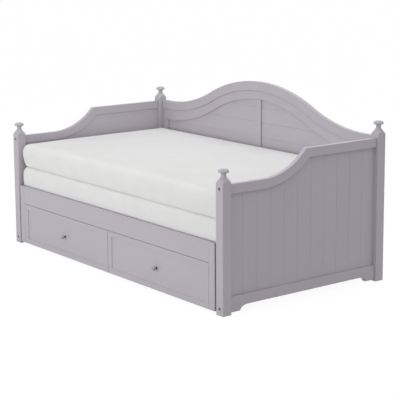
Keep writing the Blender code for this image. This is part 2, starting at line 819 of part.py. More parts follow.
def make_drawer(label, side, parent):
    """One drawer: routed front with its knob, two grooved sides, a back and a floor."""
    near = drawer_reveal
    far = opening_half_length - drawer_reveal
    x_low, x_high = side_range(side, near, far)
    z_low = frame_bottom
    z_high = front_rail_bottom - drawer_top_gap
    unit = group(f"drawer_{label}_unit", ((x_low + x_high) / 2, y_front, 0.0), parent)
    half_width = (x_high - x_low) / 2
    front = make(f"drawer_{label}_front", drawer_front(-half_width, half_width, z_low, z_high),
                 PAINT, unit)

    knob_height = (z_low + z_high) / 2
    turn = (math.pi / 2, 0.0, 0.0)
    knob = make(f"drawer_{label}_knob", turned(knob_profile(), knob_steps), NICKEL, unit,
                (0.0, drawer_panel_depth, knob_height), turn)
    rounded(knob)
    bore_profile = [(0.0, -drawer_front_thickness), (knob_bore_radius, -drawer_front_thickness),
                    (knob_bore_radius, overrun), (0.0, overrun)]
    bore = tool(f"bore_knob_{label}", turned(bore_profile, bolt_steps), unit,
                (0.0, drawer_panel_depth, knob_height), turn)
    combine(front, bore)

    centre_x = (x_low + x_high) / 2
    walls = sorted((side * (partition_thickness / 2 + drawer_side_gap) - centre_x,
                    side * (partition_inner - drawer_side_gap) - centre_x))
    box_front = drawer_front_thickness + seat_gap
    inner_faces = (walls[0] + drawer_wall, walls[1] - drawer_wall)
    for word, outer, inner in zip(("left", "right"), walls, inner_faces):
        section = drawer_side_section(outer, inner, drawer_box_top, drawer_box_bottom)
        make(f"drawer_{label}_side_{word}", prism(section, "Y", box_front, drawer_length), BOARD, unit)
    floor_low = drawer_box_bottom + drawer_floor_lift + seat_gap
    floor_high = floor_low + drawer_floor_thickness
    floor_reach = drawer_floor_groove - seat_gap
    make(f"drawer_{label}_floor",
         block(inner_faces[0] - floor_reach, inner_faces[1] + floor_reach, box_front, drawer_length,
               floor_low, floor_high), BOARD, unit)
    make(f"drawer_{label}_back",
         block(inner_faces[0] + seat_gap, inner_faces[1] - seat_gap, drawer_length - drawer_wall,
               drawer_length, floor_high + seat_gap, drawer_box_top), BOARD, unit)


# Mattresses

def cushion_ring(half_x, half_y, inset):
    """Rounded rectangle, drawn in a little between its corners, as (x, y) points in order."""
    taper = min(inset / mattress_edge_inset, 1.0)
    corner = mattress_corner_round + (mattress_top_corner_round - mattress_corner_round) * taper
    reach_x = half_x - inset - corner
    reach_y = half_y - inset - corner
    points = []
    for quarter in range(4):
        turn = quarter * math.pi / 2
        sign_x = (1, -1, -1, 1)[quarter]
        sign_y = (1, 1, -1, -1)[quarter]
        for angle in steps_between(turn, turn + math.pi / 2, mattress_corner_steps):
            points.append((sign_x * reach_x + corner * math.cos(angle),
                           sign_y * reach_y + corner * math.sin(angle)))
        along_x = quarter in (0, 2)
        count = mattress_long_steps if along_x else mattress_short_steps
        for share in steps_between(0.0, 1.0, count)[1:-1]:
            draw = mattress_side_draw * math.sin(math.pi * share)
            if along_x:
                points.append((sign_x * reach_x * (1 - 2 * share), sign_y * (half_y - inset - draw)))
            else:
                points.append((sign_x * (half_x - inset - draw), sign_y * reach_y * (1 - 2 * share)))
    return points


def cushion_levels(half_y, thickness, crown):
    """Inset and height of each ring: tucked in below, widest above the middle, round on top."""
    levels = [(mattress_edge_inset * inset, thickness * height)
              for inset, height in mattress_edge_shares]
    if crown > 0:
        field = half_y - mattress_edge_inset
        for share in steps_between(0.0, mattress_cap_share, mattress_crown_steps)[1:]:
            rise = crown * math.sin(share * math.pi / 2 / mattress_cap_share)
            levels.append((mattress_edge_inset + field * share, thickness + rise))
    return levels


def cushion(half_x, half_y, thickness, crown):
    def build(shape):
        rings = []
        for inset, height in cushion_levels(half_y, thickness, crown):
            ring = [shape.verts.new((x, y, height)) for x, y in cushion_ring(half_x, half_y, inset)]
            rings.append(ring)
        for lower, upper in zip(rings, rings[1:]):
            for index in range(len(lower)):
                after = (index + 1) % len(lower)
                shape.faces.new((lower[index], lower[after], upper[after], upper[index]))
        shape.faces.new(rings[0][::-1])
        shape.faces.new(rings[-1])
    return build


def make_mattresses(parent):
    """Two mattresses stacked: flat where they meet, the upper one with a slight crown."""
    half_x = clear_half_length - mattress_side_gap
    front = y_front + mattress_front_setback
    rear = back_face - seat_gap
    half_y = (rear - front) / 2
    bottom = slat_top + seat_gap
    for name, crown in (("mattress_lower", 0.0), ("mattress_upper", mattress_crown)):
        piece = make(name, cushion(half_x, half_y, mattress_thickness, crown), COVER, parent,
                     (0.0, (front + rear) / 2, bottom))
        rounded(piece, mattress_sharp_angle)
        bottom += mattress_thickness + seat_gap


def main():
    for existing in list(bpy.data.objects):
        bpy.data.objects.remove(existing, do_unlink=True)

    fixed = group("fixed_frame")
    front_y = y_front + post_width / 2
    rear_y = y_back - post_width / 2
    rails = {side: make_end_panel(label, side, fixed)
             for label, side in (("left", -1), ("right", 1))}
    back_posts = []
    for label, side in (("left", -1), ("right", 1)):
        top_rail, bottom_rail = rails[side]
        front_post = make_post(f"post_front_{label}", side, front_y, front_shoulder_height, fixed)
        back_post = make_post(f"post_back_{label}", side, rear_y, back_shoulder_height, fixed)
        back_posts.append(back_post)
        make_bolt(f"bolt_front_{label}_upper", side, y_front, -1, end_low_top - bolt_drop,
                  (front_post, top_rail), fixed)
        make_bolt(f"bolt_front_{label}_lower", side, y_front, -1, lower_bolt_height,
                  (front_post, bottom_rail), fixed)
        make_bolt(f"bolt_back_{label}_upper", side, y_back, 1, end_high_top - bolt_drop,
                  (back_post, top_rail), fixed)
        make_bolt(f"bolt_back_{label}_lower", side, y_back, 1, lower_bolt_height,
                  (back_post, bottom_rail), fixed)
    make_back_panel(fixed, back_posts)
    make_bed_base(fixed)

    pull_out = group("pull_out_unit", (0.0, 0.0, 0.0), fixed)
    make_pull_out(pull_out)
    make_drawer("left", -1, pull_out)
    make_drawer("right", 1, pull_out)
    make_mattresses(fixed)


main()
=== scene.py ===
import json
import math

import bmesh
import bpy
from mathutils import Euler, Matrix, Vector
from mathutils.bvhtree import BVHTree

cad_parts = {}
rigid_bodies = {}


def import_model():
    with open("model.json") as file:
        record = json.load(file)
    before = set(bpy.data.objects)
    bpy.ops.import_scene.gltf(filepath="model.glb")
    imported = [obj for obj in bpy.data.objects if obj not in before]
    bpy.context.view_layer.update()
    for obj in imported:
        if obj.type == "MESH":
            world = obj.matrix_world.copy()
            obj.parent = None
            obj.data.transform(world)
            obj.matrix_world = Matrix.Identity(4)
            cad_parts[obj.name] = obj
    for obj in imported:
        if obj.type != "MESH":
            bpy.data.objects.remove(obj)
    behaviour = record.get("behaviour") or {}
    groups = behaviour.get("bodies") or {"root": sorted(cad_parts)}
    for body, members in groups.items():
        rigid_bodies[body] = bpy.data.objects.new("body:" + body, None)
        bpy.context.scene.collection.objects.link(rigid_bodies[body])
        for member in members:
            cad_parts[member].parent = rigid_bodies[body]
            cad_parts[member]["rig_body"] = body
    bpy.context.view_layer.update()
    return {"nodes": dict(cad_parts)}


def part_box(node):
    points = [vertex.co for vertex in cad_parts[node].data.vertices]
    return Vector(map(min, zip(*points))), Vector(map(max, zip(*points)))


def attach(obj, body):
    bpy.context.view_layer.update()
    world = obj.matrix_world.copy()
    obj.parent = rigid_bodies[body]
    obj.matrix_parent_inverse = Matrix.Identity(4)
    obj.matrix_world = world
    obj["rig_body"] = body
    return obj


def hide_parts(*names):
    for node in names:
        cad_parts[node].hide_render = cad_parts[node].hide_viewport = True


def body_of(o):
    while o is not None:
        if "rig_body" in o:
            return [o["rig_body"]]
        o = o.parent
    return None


# Storage daybed: the finely made pieces, their finishes, the light and the camera.
# Metres, +Z up, X along the bed, -Y towards its open front.

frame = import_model()
nodes = frame["nodes"]
scene = bpy.context.scene
scene.view_settings.view_transform = "Standard"


# Camera, light and floor

camera = {
    "place": (6.0900, -4.5661, 1.9586),
    "yaw": 52.523, "pitch": 10.056, "roll": -0.321,  # degrees
    "lens": 117.15, "sensor": 36.0,  # millimetres
    "shiftUp": -0.10, "farthest": 400.0,
}

light = {
    "ambient": 0.48,  # world seen by the surfaces
    "backdrop": 1.0,  # world seen by the camera and in reflections
    "softSuns": [  # towards: shares from the right, the front and above; spread in degrees
        {"name": "topLight", "towards": (0.6, 0.0, 0.8), "strength": 0.44, "spread": 50.0},
        {"name": "frontLight", "towards": (0.0, 1.0, 0.05), "strength": 0.58, "spread": 50.0},
        {"name": "rearFill", "towards": (-0.7, -0.7, 0.12), "strength": 0.30, "spread": 60.0},
    ],
    "softBoxes": [  # place, the point it aims at, width and height in metres, watts
        {"name": "overheadBox", "place": (0.1, 0.45, 3.0), "aim": (0.0, 0.1, 0.3),
         "size": (3.0, 2.0), "watts": 25.0},
        {"name": "frontBox", "place": (-0.4, -3.2, 1.15), "aim": (-0.2, 0.2, 0.55),
         "size": (4.5, 0.8), "watts": 32.0},
    ],
}

floor = {
    "halfSize": 160.0,
    "colour": (0.70, 0.70, 0.70),
    "glow": 1.07,  # what the camera sees besides the shadow
    "glowShare": 0.88,
}

white = (1.0, 1.0, 1.0)


def makeCamera():
    lens = bpy.data.cameras.new("camera")
    lens.sensor_width = camera["sensor"]
    lens.lens = camera["lens"]
    lens.shift_y = camera["shiftUp"]
    lens.clip_end = camera["farthest"]
    viewer = bpy.data.objects.new("camera", lens)
    scene.collection.objects.link(viewer)
    viewer.location = camera["place"]
    turn = Euler((math.radians(90 - camera["pitch"]), 0.0, math.radians(camera["yaw"])))
    roll = Matrix.Rotation(math.radians(camera["roll"]), 3, "Z")
    viewer.rotation_euler = (turn.to_matrix() @ roll).to_euler()
    scene.camera = viewer


def addNode(owner, kind, **settings):  # to a material or to the world
    node = owner.node_tree.nodes.new("ShaderNode" + kind)
    for key, value in settings.items():
        setattr(node, key, value)
    return node


def larger(owner, first, second):
    most = addNode(owner, "Math", operation="MAXIMUM")
    owner.node_tree.links.new(first, most.inputs[0])
    owner.node_tree.links.new(second, most.inputs[1])
    return most.outputs[0]


def seenShare(owner):  # 1 where the camera, a reflection or a glass ray looks
    path = addNode(owner, "LightPath")
    share = path.outputs["Is Camera Ray"]
    for ray in ("Is Glossy Ray", "Is Transmission Ray"):
        share = larger(owner, share, path.outputs[ray])
    return share


def mixBySight(owner, share, unseen, seen, outputKind):  # the seen shader where share is 1
    links = owner.node_tree.links
    mix = addNode(owner, "MixShader")
    links.new(share, mix.inputs[0])
    links.new(unseen.outputs[0], mix.inputs[1])
    links.new(seen.outputs[0], mix.inputs[2])
    links.new(mix.outputs[0], addNode(owner, outputKind).inputs["Surface"])


def makeWorld():
    world = bpy.data.worlds.new("studio")
    scene.world = world
    world.use_nodes = True
    world.node_tree.nodes.clear()
    shades = []
    for name in ("ambient", "backdrop"):
        shade = addNode(world, "Background")
        shade.inputs["Color"].default_value = (*white, 1.0)
        shade.inputs["Strength"].default_value = light[name]
        shades.append(shade)
    mixBySight(world, seenShare(world), *shades, "OutputWorld")


def newLamp(name, kind, towards):
    beam = bpy.data.lights.new(name, kind)
    lamp = bpy.data.objects.new(name, beam)
    lamp.rotation_euler = towards.to_track_quat("Z", "Y").to_euler()
    scene.collection.objects.link(lamp)
    return beam, lamp


def makeLamps():
    for facts in light["softSuns"]:
        right, front, above = facts["towards"]
        sun = newLamp(facts["name"], "SUN", Vector((right, -front, above)))[0]
        sun.energy = facts["strength"]
        sun.angle = math.radians(facts["spread"])
    for facts in light["softBoxes"]:
        towards = Vector(facts["place"]) - Vector(facts["aim"])
        area, lamp = newLamp(facts["name"], "AREA", towards)
        area.shape = "RECTANGLE"
        area.size, area.size_y = facts["size"]
        area.energy = facts["watts"]
        lamp.location = facts["place"]
        lamp.visible_camera = False


def makeFloor():
    size = floor["halfSize"]
    mesh = bpy.data.meshes.new("studioFloor")
    mesh.from_pydata([(-size, -size, 0), (size, -size, 0), (size, size, 0), (-size, size, 0)], [],
                     [(0, 1, 2, 3)])
    ground = bpy.data.objects.new("studioFloor", mesh)
    scene.collection.objects.link(ground)
    material = bpy.data.materials.new("paleFloor")
    material.use_nodes = True
    material.node_tree.nodes.clear()
    matt = addNode(material, "BsdfDiffuse")
    matt.inputs["Color"].default_value = (*floor["colour"], 1.0)
    glow = addNode(material, "Emission")
    glow.inputs["Strength"].default_value = floor["glow"]
    share = addNode(material, "Math", operation="MULTIPLY")
    share.inputs[1].default_value = floor["glowShare"]
    material.node_tree.links.new(seenShare(material), share.inputs[0])
    mixBySight(material, share.outputs[0], matt, glow, "OutputMaterial")
    mesh.materials.append(material)


print("Camera, light and floor")
makeCamera()
makeWorld()
makeLamps()
makeFloor()


# Finishes. Each roughness is its lowest and highest value, each tone a factor on the colour

noiseMiddle = (0.35, 0.65)  # where most values of a noise texture lie


def newFinish(name, facts):
    material = bpy.data.materials.new(name)
    material.use_nodes = True
    shader = material.node_tree.nodes["Principled BSDF"]
    shader.inputs["Base Color"].default_value = (*facts["colour"], 1.0)
    shader.inputs["Roughness"].default_value = facts["roughness"][0]
    shader.inputs["Metallic"].default_value = facts.get("metallic", 0.0)
    return material, shader


def noiseOver(material, facts, axis=None):
    # Noise in the object's own metres, drawn out along the axis where its stretch is below 1
    links = material.node_tree.links
    place = addNode(material, "TexCoord")
    mapping = addNode(material, "Mapping")
    mapping.inputs["Scale"].default_value = [facts["stretch"] if name == axis else 1.0
                                             for name in "XYZ"]
    texture = addNode(material, "TexNoise")
    texture.inputs["Scale"].default_value = facts["scale"]
    texture.inputs["Detail"].default_value = facts["detail"]
    texture.inputs["Distortion"].default_value = facts.get("distortion", 0.0)
    links.new(place.outputs["Object"], mapping.inputs["Vector"])
    links.new(mapping.outputs["Vector"], texture.inputs["Vector"])
    return texture.outputs["Fac"]


def spread(material, source, reach):  # turns a noise's middle into values over the reach
    remap = addNode(material, "MapRange")
    remap.inputs["From Min"].default_value = noiseMiddle[0]
    remap.inputs["From Max"].default_value = noiseMiddle[1]
    remap.inputs["To Min"].default_value = reach[0]
    remap.inputs["To Max"].default_value = reach[1]
    material.node_tree.links.new(source, remap.inputs["Value"])
    return remap.outputs["Result"]


def twoTone(material, source, first, second, reach=noiseMiddle):
    ramp = addNode(material, "ValToRGB")
    for stop, place, colour in zip(ramp.color_ramp.elements, reach, (first, second)):
        stop.position = place
        stop.color = (*colour, 1.0)
    material.node_tree.links.new(source, ramp.inputs["Fac"])
    return ramp.outputs["Color"]


def toned(material, source, facts):  # the finish's colour between its two tones
    darker, lighter = [[min(1.0, part * tone) for part in facts["colour"]]
                       for tone in facts["tones"]]
    return twoTone(material, source, darker, lighter)


def multiplied(material, share, first, second):
    mix = addNode(material, "Mix", data_type="RGBA", blend_type="MULTIPLY")
    mix.inputs["Factor"].default_value = share
    material.node_tree.links.new(first, mix.inputs["A"])
    material.node_tree.links.new(second, mix.inputs["B"])
    return mix.outputs["Result"]


def bump(material, source, facts, under=None):
    node = addNode(material, "Bump")
    node.inputs["Strength"].default_value = facts["bump"]
    node.inputs["Distance"].default_value = facts["depth"]
    material.node_tree.links.new(source, node.inputs["Height"])
    if under is not None:
        material.node_tree.links.new(under, node.inputs["Normal"])
    return node.outputs["Normal"]


paint = {
    "colour": (0.466, 0.430, 0.480), "tones": (0.985, 1.015), "roughness": (0.40, 0.50),
    "drift": {"scale": 3.5, "stretch": 0.4, "detail": 4.0},
    "grain": {"scale": 260.0, "stretch": 0.06, "detail": 4.0, "distortion": 0.4,
              "bump": 0.5, "depth": 0.00012},
    "spray": {"scale": 900.0, "detail": 2.0, "bump": 0.35, "depth": 0.00006},
}


def makePaint(axis):  # its fine grain runs along the piece
    material, shader = newFinish("lilacPaint" + axis, paint)
    links = material.node_tree.links
    drift = noiseOver(material, paint["drift"], axis)
    links.new(toned(material, drift, paint), shader.inputs["Base Color"])
    grain = noiseOver(material, paint["grain"], axis)
    spray = noiseOver(material, paint["spray"])
    links.new(spread(material, grain, paint["roughness"]), shader.inputs["Roughness"])
    normal = bump(material, grain, paint["grain"])
    links.new(bump(material, spray, paint["spray"], normal), shader.inputs["Normal"])
    return material


pine = {
    "colour": (0.655, 0.500, 0.325), "ringColour": (0.510, 0.355, 0.205),
    "ringReach": (0.42, 0.68), "roughness": (0.52, 0.66),
    "rings": {"scale": 34.0, "stretch": 0.05, "detail": 5.0, "distortion": 1.6},
    "fibre": {"scale": 520.0, "stretch": 0.03, "detail": 3.0, "bump": 0.5, "depth": 0.00015},
    "fibreColour": (0.80, 0.76, 0.70), "fibreShare": 0.35,
}


def makePine(axis):
    material, shader = newFinish("barePine" + axis, pine)
    links = material.node_tree.links
    rings = noiseOver(material, pine["rings"], axis)
    fibre = noiseOver(material, pine["fibre"], axis)
    wood = multiplied(material, pine["fibreShare"],
                      twoTone(material, rings, pine["colour"], pine["ringColour"],
                              pine["ringReach"]),
                      twoTone(material, fibre, pine["fibreColour"], white))
    links.new(wood, shader.inputs["Base Color"])
    links.new(spread(material, fibre, pine["roughness"]), shader.inputs["Roughness"])
    links.new(bump(material, fibre, pine["fibre"]), shader.inputs["Normal"])
    return material


linedBoard = {
    "colour": (0.640, 0.630, 0.610), "tones": (0.975, 1.02), "roughness": (0.48, 0.58),
    "speckle": {"scale": 700.0, "detail": 2.0, "bump": 0.4, "depth": 0.00008},
    "cloud": {"scale": 6.0, "detail": 3.0},
}


def makeLinedBoard():
    material, shader = newFinish("linedBoard", linedBoard)
    links = material.node_tree.links
    speckle = noiseOver(material, linedBoard["speckle"])
    cloud = noiseOver(material, linedBoard["cloud"])
    links.new(toned(material, cloud, linedBoard), shader.inputs["Base Color"])
    links.new(spread(material, speckle, linedBoard["roughness"]), shader.inputs["Roughness"])
    links.new(bump(material, speckle, linedBoard["speckle"]), shader.inputs["Normal"])
    return material


nickel = {  # the knobs
    "colour": (0.27, 0.27, 0.275), "tones": (0.92, 1.05), "roughness": (0.14, 0.22),
    "metallic": 1.0, "scale": 300.0, "detail": 4.0, "bump": 0.3, "depth": 0.00001,
}

# The knobs' necks: a near-black copy of the nickel, painted shade where the stem lies in shadow
neckShadeNickel = {**nickel, "colour": (0.05, 0.05, 0.05), "roughness": (0.25, 0.40)}  # their necks

zinc = {**nickel, "colour": (0.42, 0.41, 0.40), "roughness": (0.30, 0.48),  # the bolts
        "scale": 160.0, "depth": 0.00003}

mouldedBlack = {  # the wheels
    "colour": (0.030, 0.030, 0.033), "tones": (0.85, 1.25), "roughness": (0.50, 0.70),
    "scale": 1400.0, "detail": 2.0, "bump": 0.5, "depth": 0.00010,
}

boredWood = {  # bare where a bolt hole was bored through the paint
    "colour": (0.420, 0.375, 0.350), "tones": (0.80, 1.10), "roughness": (0.7, 0.7),
    "scale": 900.0, "stretch": 0.2, "detail": 3.0, "bump": 0.5, "depth": 0.0002,
}

# The welt is a real piping cord; its warm beige, a little darker than the cover, also stands in for
# the seam's warm shade: painted shade
weltShadeCloth = {
    "colour": (0.800, 0.742, 0.676), "tones": (0.93, 1.05), "roughness": (0.85, 0.85),
    "scale": 900.0, "detail": 2.0, "bump": 0.5, "depth": 0.00012,
}


def makeSpeckled(name, facts, axis=None):  # one noise tints it, roughens it and gives it relief
    material, shader = newFinish(name, facts)
    links = material.node_tree.links
    speckle = noiseOver(material, facts, axis)
    links.new(toned(material, speckle, facts), shader.inputs["Base Color"])
    smoothest, roughest = facts["roughness"]
    if roughest > smoothest:
        links.new(spread(material, speckle, facts["roughness"]), shader.inputs["Roughness"])
    links.new(bump(material, speckle, facts), shader.inputs["Normal"])
    return material


cover = {
    "colour": (0.762, 0.760, 0.755), "tones": (0.985, 1.01), "roughness": (0.88, 0.88),
    "sheen": 0.15, "sheenRoughness": 0.45, "cloud": {"scale": 9.0, "detail": 4.0},
    "threadPitch": 0.0016, "threadWaver": 0.6, "threadDetail": 1.0,
    "bandAtScaleOne": 0.314,  # width of a wave texture's band
    # hollow is the colour painted into the knit's low places: painted shade in its hollows
    "hollow": (0.95, 0.95, 0.945), "hollowShadeShare": 0.5, "bump": 0.5, "depth": 0.00012,
}


def makeCover():  # knitted, with threads along all three axes
    material, shader = newFinish("knittedCover", cover)
    shader.inputs["Sheen Weight"].default_value = cover["sheen"]
    shader.inputs["Sheen Roughness"].default_value = cover["sheenRoughness"]
    links = material.node_tree.links
    place = addNode(material, "TexCoord")
    threads = []
    for direction in "XYZ":
        knit = addNode(material, "TexWave", bands_direction=direction)
        knit.inputs["Scale"].default_value = cover["bandAtScaleOne"] / cover["threadPitch"]
        knit.inputs["Distortion"].default_value = cover["threadWaver"]
        knit.inputs["Detail"].default_value = cover["threadDetail"]
        links.new(place.outputs["Object"], knit.inputs["Vector"])
        threads.append(knit.outputs["Fac"])
    height = larger(material, larger(material, threads[0], threads[1]), threads[2])
    cloud = noiseOver(material, cover["cloud"])
    # Darker where the knit is low: painted shade in its hollows
    cloth = multiplied(material, cover["hollowShadeShare"], toned(material, cloud, cover),
                       twoTone(material, height, cover["hollow"], white))
    links.new(cloth, shader.inputs["Base Color"])
    links.new(bump(material, height, cover), shader.inputs["Normal"])
    return material


print("Finishes")
paintFinish = {axis: makePaint(axis) for axis in "XYZ"}
pineFinish = {axis: makePine(axis) for axis in "XY"}
boardFinish = makeLinedBoard()
nickelFinish = makeSpeckled("nickel", nickel)
neckShadeFinish = makeSpeckled("neckShadeNickel", neckShadeNickel)
zincFinish = makeSpeckled("zinc", zinc)
mouldedFinish = makeSpeckled("mouldedBlack", mouldedBlack)
boredFinish = makeSpeckled("boredWood", boredWood, "Z")
coverFinish = makeCover()
weltShadeFinish = makeSpeckled("weltShadeCloth", weltShadeCloth)


# Shapes that all the pieces are made with

making = {
    "weld": 0.00001, "cadWeld": 0.00002, "flatAngle": 1.0,  # angles in degrees
    "easeAngle": 32.0, "easeSteps": 3, "fewEaseSteps": 2,
    "fitGap": 0.0003,  # left free round a tongue in its groove
}


def newPiece(name, shape, *finishes):
    bmesh.ops.remove_doubles(shape, verts=shape.verts, dist=making["weld"])
    bmesh.ops.recalc_face_normals(shape, faces=shape.faces)
    mesh = bpy.data.meshes.new(name)
    shape.to_mesh(mesh)
    shape.free()
    mesh.shade_smooth()
    for finish in finishes:
        mesh.materials.append(finish)
    piece = bpy.data.objects.new(name, mesh)
    scene.collection.objects.link(piece)
    return piece


def fitted(piece, slotName, *replaced):  # stands for its CAD nodes and rides with them
    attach(piece, body_of(nodes[replaced[0]])[0])
    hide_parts(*replaced)
    return piece


def levelShaded(piece):  # flat faces stay evenly lit beside their rounded edges
    level = piece.modifiers.new("levelShading", "WEIGHTED_NORMAL")
    level.keep_sharp = True


def sharpened(piece, angle):
    piece.data.set_sharp_from_angle(angle=math.radians(angle))


def eased(piece, width, steps=making["easeSteps"]):  # rounds the corners as sanding would
    rounding = piece.modifiers.new("easedEdges", "BEVEL")
    rounding.width = width
    rounding.segments = steps
    rounding.limit_method = "ANGLE"
    rounding.angle_limit = math.radians(making["easeAngle"])
    rounding.use_clamp_overlap = True
    levelShaded(piece)


def shapedMesh(piece):  # the piece's mesh with its modifiers worked in
    scene.view_layers[0].update()
    reading = bpy.context.evaluated_depsgraph_get()
    return bpy.data.meshes.new_from_object(piece.evaluated_get(reading))


def carved(piece, cutter, operation="DIFFERENCE"):  # the cutter is used up
    change = piece.modifiers.new("carving", "BOOLEAN")
    change.operation = operation
    change.solver = "EXACT"
    change.object = cutter
    shaped = shapedMesh(piece)
    piece.modifiers.clear()
    before = piece.data
    piece.data = shaped
    bpy.data.meshes.remove(before)
    bpy.data.objects.remove(cutter)


def loft(rings, closed=False):
    shape = bmesh.new()
    rows = [[shape.verts.new(point) for point in ring] for ring in rings]
    pairs = list(zip(rows, rows[1:]))
    if closed:
        pairs.append((rows[-1], rows[0]))
    for lower, upper in pairs:
        for here in range(len(lower)):
            after = (here + 1) % len(lower)
            shape.faces.new((lower[here], lower[after], upper[after], upper[here]))
    if not closed:
        shape.faces.new(rows[0][::-1])
        shape.faces.new(rows[-1])
    return shape


def prism(outline, axis, low, high):  # the outline's pairs lie on the other two axes, in order
    spot = "XYZ".index(axis)
    return loft([[(*pair[:spot], level, *pair[spot:]) for pair in outline]
                 for level in (low, high)])


def turns(steps):  # the angles of a full circle
    return [2 * math.pi * step / steps for step in range(steps)]


def turning(profile, steps):  # profile of (radius, height), spun about Z
    return loft([[(radius * math.cos(turn), radius * math.sin(turn), height)
                  for turn in turns(steps)] for radius, height in profile])


def standing(place, facing):  # turns a shape made along Z to stand out of a front or rear face
    return Matrix.Translation(place) @ Matrix.Rotation(-facing * math.pi / 2, 4, "X")


def between(start, end, count):
    return [start + (end - start) * step / count for step in range(count + 1)]


def valueAt(line, place):  # second value of a line of pairs where its first value is the place
    for (first, low), (second, high) in zip(line, line[1:]):
        if first <= place <= second:
            return low + (high - low) * (place - first) / max(1e-9, second - first)
    return line[-1][1] if place > line[-1][0] else line[0][1]


def smoothLine(points, steps):  # a curve through all the points
    marks = [0.0]
    for before, after in zip(points, points[1:]):
        marks.append(marks[-1] + max(1e-6, math.dist(before, after)) ** 0.5)
    slopes = []
    for index in range(len(points)):
        low, high = max(0, index - 1), min(len(points) - 1, index + 1)
        if 0 < index < len(points) - 1:
            gapLow, gapHigh = marks[index] - marks[low], marks[high] - marks[index]
            slope = []
            for axis in (0, 1):
                rateLow = (points[index][axis] - points[low][axis]) / gapLow
                rateHigh = (points[high][axis] - points[index][axis]) / gapHigh
                slope.append((rateLow * gapHigh + rateHigh * gapLow) / (gapLow + gapHigh))
            slopes.append(slope)
        else:
            gap = marks[high] - marks[low]
            slopes.append([(points[high][axis] - points[low][axis]) / gap for axis in (0, 1)])
    line = [points[0]]
    for index in range(len(points) - 1):
        gap = marks[index + 1] - marks[index]
        for share in between(0.0, 1.0, steps)[1:]:
            square, cube = share ** 2, share ** 3
            line.append(tuple(
                (2 * cube - 3 * square + 1) * points[index][axis]
                + (cube - 2 * square + share) * gap * slopes[index][axis]
                + (3 * square - 2 * cube) * points[index + 1][axis]
                + (cube - square) * gap * slopes[index + 1][axis]
                for axis in (0, 1)))
    return line


def pieceName(node):  # post_front_left becomes postFrontLeft
    first, *rest = node.split("_")
    return first + "".join(word.capitalize() for word in rest)


def easedCopy(node, finish, slotName, ease):  # the CAD shape with its edges broken
    shape = bmesh.new()
    shape.from_mesh(nodes[node].data)
    bmesh.ops.remove_doubles(shape, verts=shape.verts, dist=making["cadWeld"])
    bmesh.ops.dissolve_limit(shape, angle_limit=math.radians(making["flatAngle"]),
                             verts=shape.verts, edges=shape.edges)
    piece = newPiece(pieceName(node), shape, finish)
    eased(fitted(piece, slotName, node), ease, making["fewEaseSteps"])


# Posts and bolts

post = {
    "cornerRound": 0.0028, "cornerSteps": 4, "faceSteps": 12,
    "shaftStart": 0.06, "shaftEnd": 0.03, "shaftSteps": 7,  # above the foot, below the shoulder
    "finialHeight": 0.080, "arris": 0.0009, "arrisShare": 0.15,
    "footEase": 0.0018, "footShare": 0.3, "sharpAngle": 40.0,
    "profile": [  # shares of the post's half width, and of the finial's height
        (1.450, 0.000), (1.270, 0.138), (1.095, 0.217), (0.915, 0.296), (0.735, 0.375),
        (0.570, 0.445), (0.490, 0.523), (0.480, 0.612), (0.530, 0.681), (0.770, 0.733),
        (0.980, 0.782), (1.000, 0.835), (0.940, 0.897), (0.740, 0.952), (0.420, 0.985),
        (0.000, 1.000)],
    "lineSteps": 6, "neckSteps": 16,
}

bolt = {
    "boreRadius": 0.0080, "sink": 0.0060, "mouthChamfer": 0.0009, "boreSteps": 40,
    "overrun": 0.004,
    "bared": (0.00005, 0.02),  # depths between which the hole's faces show bare wood
    "headRadius": 0.0068, "headHeight": 0.0060, "headEase": 0.0006,
    "lowerShare": 0.4, "upperShare": 0.3,  # of the head's ease
    "shankRadius": 0.0030, "tipChamfer": 0.0006, "tipRun": 0.0008,
    "socketRadius": 0.0033, "socketDepth": 0.0035, "mouthShare": 1.06, "mouthDepth": 0.0003,
    "steps": 48, "sharpAngle": 35.0,
}


def roundedSquare(half):
    corner = post["cornerRound"]
    reach = half - corner
    arcs = []
    for quarter in range(4):
        start = quarter * math.pi / 2
        middle = Vector((reach, reach)) @ Matrix.Rotation(-start, 2)
        arcs.append([(middle.x + corner * math.cos(turn), middle.y + corner * math.sin(turn))
                     for turn in between(start, start + math.pi / 2, post["cornerSteps"])])
    outline = []
    for arc, nextArc in zip(arcs, arcs[1:] + arcs[:1]):
        start, end = arc[-1], nextArc[0]
        outline += arc
        outline += [(start[0] + (end[0] - start[0]) * share, start[1] + (end[1] - start[1]) * share)
                    for share in between(0.0, 1.0, post["faceSteps"])[1:-1]]
    return outline


def crossing(line, radius):  # height at which a line that narrows upwards has this radius
    for (wide, low), (narrow, high) in zip(line, line[1:]):
        if wide >= radius > narrow:
            return low + (high - low) * (wide - radius) / (wide - narrow)
    return line[0][1]


